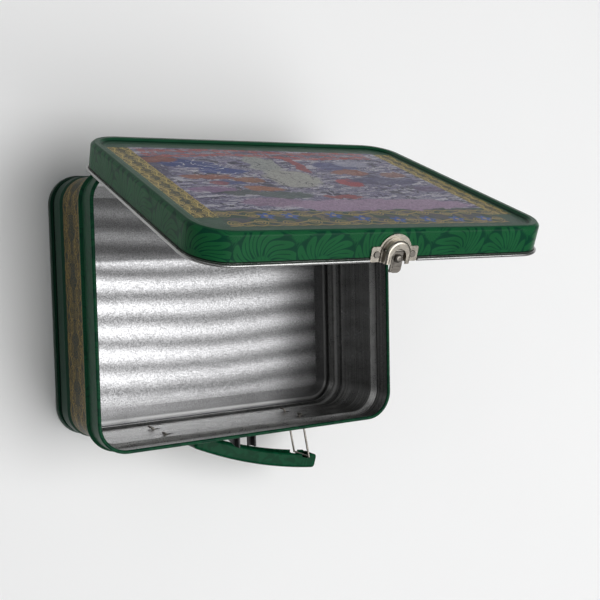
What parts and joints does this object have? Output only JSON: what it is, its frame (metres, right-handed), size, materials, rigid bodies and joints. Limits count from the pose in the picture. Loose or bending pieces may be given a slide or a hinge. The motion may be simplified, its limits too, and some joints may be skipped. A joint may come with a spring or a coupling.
{
  "type": "hinged cookie tin",
  "caption": "Rounded rectangular storage tin with a hinged skirted lid, a sprung front latch, a catch and a bowed carrying handle on two wire loops.",
  "frame": {"origin": "centre of the base, on the surface the tin rests on", "axes": "+Z out of the tin's mouth, +Y towards the hinge wall, +X along the long side, with the handle wall facing -Y"},
  "size_m": [0.2104, 0.2182, 0.2319],
  "materials": {
    "green_tin": "gloss printed enamel outside, bare tinplate inside",
    "bare_tinplate": "bright bare tinplate",
    "printed_lid": "gloss printed enamel",
    "nickel": "worn bright nickel plate",
    "spring_wire": "drawn steel wire",
    "black_catch": "black enamel",
    "green_grip": "gloss enamel",
    "hinge_steel": "plated steel"
  },
  "bodies": {
    "tin": {"body_wall": "green_tin", "bottom_panel": "bare_tinplate", "hinge_body_leaf_left": "hinge_steel", "hinge_body_leaf_right": "hinge_steel", "hinge_pin_left": "spring_wire", "hinge_pin_right": "spring_wire", "catch": "black_catch"},
    "lid": {"lid": "printed_lid", "hinge_lid_leaf_left": "hinge_steel", "hinge_lid_leaf_right": "hinge_steel", "latch_plate": "nickel", "latch_rivet_left": "nickel", "latch_rivet_right": "nickel", "latch_pin": "spring_wire", "latch_spring_left": "spring_wire", "latch_spring_right": "spring_wire"},
    "latch_lever": {"latch_lever": "nickel"},
    "left_loop": {"handle_wire_left": "spring_wire"},
    "right_loop": {"handle_wire_right": "spring_wire"},
    "grip": {"handle_grip": "green_grip"}
  },
  "joints": [
    {"name": "lid_hinge", "type": "hinge", "parent": "tin", "child": "lid", "pos_m": [0, 0.0864, 0.0642], "axis": [-1, 0, 0], "range_deg": [-70, 35]},
    {"name": "latch_swing", "type": "hinge", "parent": "lid", "child": "latch_lever", "pos_m": [0, 0.03454, 0.22831], "axis": [-1, 0, 0], "range_deg": [0, 25], "stiffness_Nm_per_rad": 0.02, "springref_deg": -17.19},
    {"name": "left_loop_swing", "type": "hinge", "parent": "tin", "child": "left_loop", "pos_m": [-0.0485, -0.0806, 0.04], "axis": [0, 0, 1], "range_deg": [-57, 0]},
    {"name": "right_loop_swing", "type": "hinge", "parent": "tin", "child": "right_loop", "pos_m": [0.0485, -0.0806, 0.04], "axis": [0, 0, 1], "range_deg": [-31.58, 0]},
    {"name": "grip_turn", "type": "hinge", "parent": "left_loop", "child": "grip", "pos_m": [-0.02041, -0.0876, 0.04], "axis": [0, 0, 1], "range_deg": [0, 72.95]}
  ],
  "couplings": [
    {"joint": "right_loop_swing", "follows": "left_loop_swing", "ratio": 0.5532},
    {"joint": "grip_turn", "follows": "left_loop_swing", "ratio": -1.2789}
  ]
}
